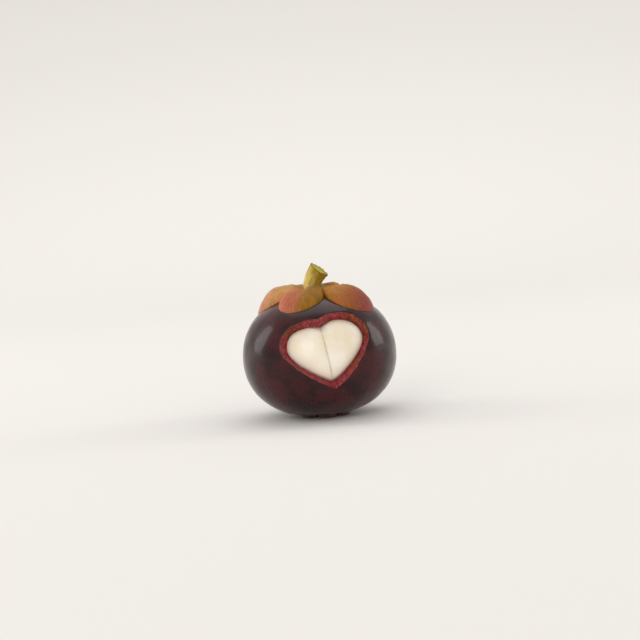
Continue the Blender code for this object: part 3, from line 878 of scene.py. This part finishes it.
def makeStemCut():
    # Fresh cut across the stalk: moist yellow-green pith, darker olive towards its right, inside a
    # thin brown ring of bark
    made, tree, place = startMaterial("cut stalk pith")
    follow = addNode(tree, "UVMap", uv_map="wrap").outputs["UV"]
    split = addNode(tree, "SeparateXYZ", {"Vector": follow})
    body = addNode(tree, "ValToRGB", {"Fac": split.outputs["Y"]}, stops=stem["pithTones"])
    pith = addNode(tree, "TexNoise", {"Vector": place, "Scale": 1.0 / stem["pithSize"], "Detail": 4.0})
    tone = addNode(tree, "MapRange", {
        "Value": pith.outputs["Fac"], **noiseSpan, "To Min": 0.72, "To Max": 1.2})
    reach = addNode(tree, "SeparateXYZ", {"Vector": place})
    # the cut face turns darker olive towards its right
    rightShare = addNode(tree, "MapRange", {
        "Value": reach.outputs["X"], "From Min": 2.5 * mm, "From Max": 6.5 * mm, "To Max": 0.75,
    }, interpolation_type="SMOOTHSTEP")
    rightTinted = addNode(tree, "Mix", {
        mixShare: rightShare.outputs[0], mixFrom: body.outputs["Color"], mixTo: stem["rightPithTone"],
    }, data_type="RGBA")
    toned = addNode(tree, "VectorMath", {
        0: rightTinted.outputs[mixOut], "Scale": tone.outputs[0]}, operation="SCALE")
    bump = addNode(tree, "Bump", {
        "Height": pith.outputs["Fac"], "Strength": 0.8, "Distance": 0.35 * mm})
    return finishMaterial(made, {"Roughness": 0.55, "IOR": 1.40},
                          {"Base Color": toned.outputs[0], "Normal": bump.outputs["Normal"]})


def makeStem():
    bm = bmesh.new()
    bmesh.ops.create_cone(bm, cap_ends=True, segments=stem["sides"], radius1=1.0, radius2=1.0,
                          depth=1.0)
    upright = [edge for edge in bm.edges if abs(edge.verts[0].co.z - edge.verts[1].co.z) > 0.5]
    bmesh.ops.subdivide_edges(bm, edges=upright, cuts=stem["rows"])
    cut = max(bm.faces, key=lambda face: face.calc_center_median().z)
    cutFaces = set()
    for width in stem["cutRings"]:
        cutFaces.update(bmesh.ops.inset_region(bm, faces=[cut], thickness=width)["faces"])
    cutFaces.add(cut)
    path = interpolate_bezier(stem["foot"], stem["rise"], stem["bend"], stem["tip"], stem["rows"] + 2)
    wrap = {}
    for face in bm.faces:
        face.material_index = 1 if face in cutFaces else 0
    for vert in bm.verts:
        share = vert.co.z + 0.5
        row = round(share * (stem["rows"] + 1))
        before, after = path[max(0, row - 1)], path[min(len(path) - 1, row + 1)]
        axis = (after - before).normalized()
        across = Vector((0.0, 1.0, 0.0)).cross(axis).normalized()
        deep = axis.cross(across)
        turn = math.atan2(vert.co.y, vert.co.x)
        inward = 1.0 - math.hypot(vert.co.x, vert.co.y)  # 0 on the bark, 1 in the pith's middle
        girth = stem["radius"] + stem["flare"] * share ** stem["flarePower"]
        girth += stem["footFlare"] * (1.0 - share) ** stem["footPower"]
        girth += stem["ribHeight"] * math.cos(stem["ribs"] * turn)
        spread = across * math.cos(turn) + deep * math.sin(turn)
        place = path[row] + spread * girth * (1.0 - inward)
        place += spread * fuzz(place, stem["barkCell"]) * stem["barkRelief"]
        lean = spread.dot(around(stem["slantAzimuth"])) * (1.0 - inward)
        place -= axis * stem["slant"] * 0.5 * (1.0 + lean) * share ** stem["slantPower"]
        if row > stem["rows"]:  # the cut end
            place -= axis * stem["hollow"] * smoothStep(inward, 0.0, stem["hollowSpan"])
            place += axis * fuzz(place, stem["raggedCell"]) * stem["ragged"]
        vert.co = place
        wrap[vert] = (turn / math.tau + 0.5, inward if row > stem["rows"] else share)
    layer = bm.loops.layers.uv.new("wrap")
    for face in bm.faces:
        turns = [wrap[loop.vert][0] for loop in face.loops]
        seam = max(turns) - min(turns) > 0.5
        for loop in face.loops:
            turn, share = wrap[loop.vert]
            loop[layer].uv = (turn + 1.0 if seam and turn < 0.5 else turn, share)
    addPiece("cutStem", bm, "stem", "stem", makeStemBark(), makeStemCut())


makeStem()


stigma = {
    "centre": 0.8 * mm,        # how far right of the fruit's axis it grew
    "thickness": 2.0 * mm,
    "radius": 11.8 * mm,
    "notch": 6.6 * mm,
    "sharpness": 0.3,
    "turn": 6.0,
    "rim": 0.33,
    "grid": (240, 48),
    "relief": 0.12 * mm,       # how far its underside is hollowed inside the rim
    "ribShare": 0.4,
    "corkSize": 1.9 * mm,
    "tones": ((0.30, "#3a2224"), (0.50, "#5e3a3d"), (0.70, "#86605c")),
}


def makeStigmaMaterial():
    # Dried stigma: corky lobes, brown purple with paler ridges
    made, tree, place = startMaterial("dry corky stigma")
    cork = addNode(tree, "TexNoise", {
        "Vector": place, "Scale": 1.0 / stigma["corkSize"], "Detail": 5.0, "Roughness": 0.65})
    body = addNode(tree, "ValToRGB", {"Fac": cork.outputs["Fac"]}, stops=stigma["tones"])
    bump = addNode(tree, "Bump", {"Height": cork.outputs["Fac"], "Strength": 0.6, "Distance": 0.4 * mm})
    return finishMaterial(made, {"Roughness": 0.5, "IOR": 1.45},
                          {"Base Color": body.outputs["Color"], "Normal": bump.outputs["Normal"]})


def makeStigma():  # one lobe for each segment of the flesh
    bm = bmesh.new()
    sides, rings = stigma["grid"]
    bmesh.ops.create_uvsphere(bm, u_segments=sides, v_segments=rings, radius=1.0)
    for vert in bm.verts:
        share = math.hypot(vert.co.x, vert.co.y)
        turn = math.atan2(vert.co.x, -vert.co.y)
        wave = abs(math.cos(0.5 * flesh["count"] * turn)) ** stigma["sharpness"]
        radius = stigma["notch"] + (stigma["radius"] - stigma["notch"]) * wave
        place = around(math.degrees(turn) + stigma["turn"]) * radius * share
        place.x += stigma["centre"]
        level = clamp(vert.co.z / stigma["rim"], -1.0, 1.0)
        place.z = 0.5 * stigma["thickness"] * (1.0 + level)
        if level < 0.0:  # ridged underneath, resting on its rim
            ribs = (0.5 + 0.5 * math.cos(flesh["count"] * turn)) * smoothStep(share, 0.2, 0.7)
            hollow = (1.0 - share) * (1.0 - stigma["ribShare"]) + stigma["ribShare"] * ribs
            place.z += stigma["relief"] * hollow * smoothStep(-level, 0.2, 1.0)
        vert.co = place
    addPiece("stigmaRosette", bm, "stigma", "stigma", makeStigmaMaterial())


makeStigma()


studio = {
    "floorRadius": 0.7,
    "curveRadius": 2.4,
    "curveTurn": 50.0,         # degrees that the paper curls up, all round
    "curveSteps": 16,
    "turnSteps": 96,
    "paper": "#ebe8e4",
    "toothSize": 1.1 * mm,
    "airColour": "#fefcfa",
    "airStrength": 0.78,
    "aim": (0.0, 0.0, 0.0275),
    "wallAim": (0.0, 2.60, 0.45),
    "softboxes": (             # name, place, what it aims at, width and height, watts
        ("front softbox", (-0.70, -1.80, 0.90), "aim", (0.80, 0.80), 8.0),
        ("overhead softbox", (0.00, 0.60, 1.40), "aim", (1.30, 0.90), 4.0),
        ("left softbox", (-1.15, 0.35, 0.50), "aim", (0.40, 0.80), 2.8),
        ("right softbox", (1.15, 0.30, 0.45), "aim", (0.35, 0.70), 2.4),
        ("wall softbox", (0.00, 1.00, 1.00), "wallAim", (1.20, 0.50), 2.5),
    ),
}


def makeSweepMaterial():
    # Matt seamless studio paper, warm white, with a tooth drawn coarser than a real one's
    made, tree, place = startMaterial("seamless studio paper")
    tooth = addNode(tree, "TexNoise", {
        "Vector": place, "Scale": 1.0 / studio["toothSize"], "Detail": 2.0})
    bump = addNode(tree, "Bump", {
        "Height": tooth.outputs["Fac"], "Strength": 0.05, "Distance": 0.1 * mm})
    return finishMaterial(made, {
        "Base Color": linear(studio["paper"]), "Roughness": 0.9, "Specular IOR Level": 0.2,
    }, {"Normal": bump.outputs["Normal"]})


def makeSweep():
    bm = bmesh.new()
    reach, curve = studio["floorRadius"], studio["curveRadius"]
    profile = [bm.verts.new((0.0, 0.0, 0.0)), bm.verts.new((reach, 0.0, 0.0))]
    for step in range(1, studio["curveSteps"] + 1):
        turn = math.radians(studio["curveTurn"]) * step / studio["curveSteps"]
        profile.append(bm.verts.new((
            reach + curve * math.sin(turn), 0.0, curve * (1.0 - math.cos(turn)))))
    edges = [bm.edges.new(pair) for pair in zip(profile, profile[1:])]
    bmesh.ops.spin(bm, geom=profile + edges, cent=(0, 0, 0), axis=(0, 0, 1), angle=math.tau,
                   steps=studio["turnSteps"], use_merge=True)
    bmesh.ops.remove_doubles(bm, verts=bm.verts, dist=0.1 * mm)
    bmesh.ops.recalc_face_normals(bm, faces=bm.faces)
    if sum(face.normal.z * face.calc_area() for face in bm.faces) < 0.0:  # its upper side is seen
        bmesh.ops.reverse_faces(bm, faces=bm.faces)
    makeObject("studioSweep", bm, makeSweepMaterial())


def makeLights():
    world = bpy.data.worlds.new("studio air")
    world.use_nodes = True
    air = world.node_tree.nodes["Background"]
    air.inputs["Color"].default_value = linear(studio["airColour"])
    air.inputs["Strength"].default_value = studio["airStrength"]
    bpy.context.scene.world = world
    for name, place, aim, size, watts in studio["softboxes"]:
        light = bpy.data.lights.new(name, "AREA")
        light.shape = "RECTANGLE"
        light.size, light.size_y = size
        light.energy = watts
        lamp = bpy.data.objects.new(name, light)
        bpy.context.scene.collection.objects.link(lamp)
        lamp.location = place
        facing = Vector(studio[aim]) - lamp.location
        lamp.rotation_euler = facing.to_track_quat("-Z", "Y").to_euler()


shot = {
    "elevation": 5.0,
    "roll": 4.0,
    "lens": 85.0,
    "sensor": 36.0,
    "near": 0.01,
    "far": 20.0,
    "frameWidth": 292.5 * mm,             # how much of the fruit's plane the picture spans
    "aboveWaist": (0.2 * mm, 16.0 * mm),  # the picture's centre, right of and above the waist
}


def makeCamera():
    tilt, roll = math.radians(shot["elevation"]), math.radians(shot["roll"])
    back = Vector((0.0, -math.cos(tilt), math.sin(tilt)))
    level, rise = Vector((1.0, 0.0, 0.0)), Vector((0.0, math.sin(tilt), math.cos(tilt)))
    up = rise * math.cos(roll) + level * math.sin(roll)
    right = level * math.cos(roll) - rise * math.sin(roll)
    target = middle + right * shot["aboveWaist"][0] + up * shot["aboveWaist"][1]
    distance = shot["frameWidth"] * shot["lens"] / shot["sensor"]
    data = bpy.data.cameras.new("portrait camera")
    data.lens, data.sensor_width = shot["lens"], shot["sensor"]
    data.clip_start, data.clip_end = shot["near"], shot["far"]
    camera = bpy.data.objects.new("portrait camera", data)
    bpy.context.scene.collection.objects.link(camera)
    turn = Matrix((right, up, back)).transposed().to_4x4()
    camera.matrix_world = Matrix.Translation(target + back * distance) @ turn
    bpy.context.scene.camera = camera


makeSweep()
makeLights()
makeCamera()
bpy.context.scene.view_settings.view_transform = "Standard"
print("studio ready")
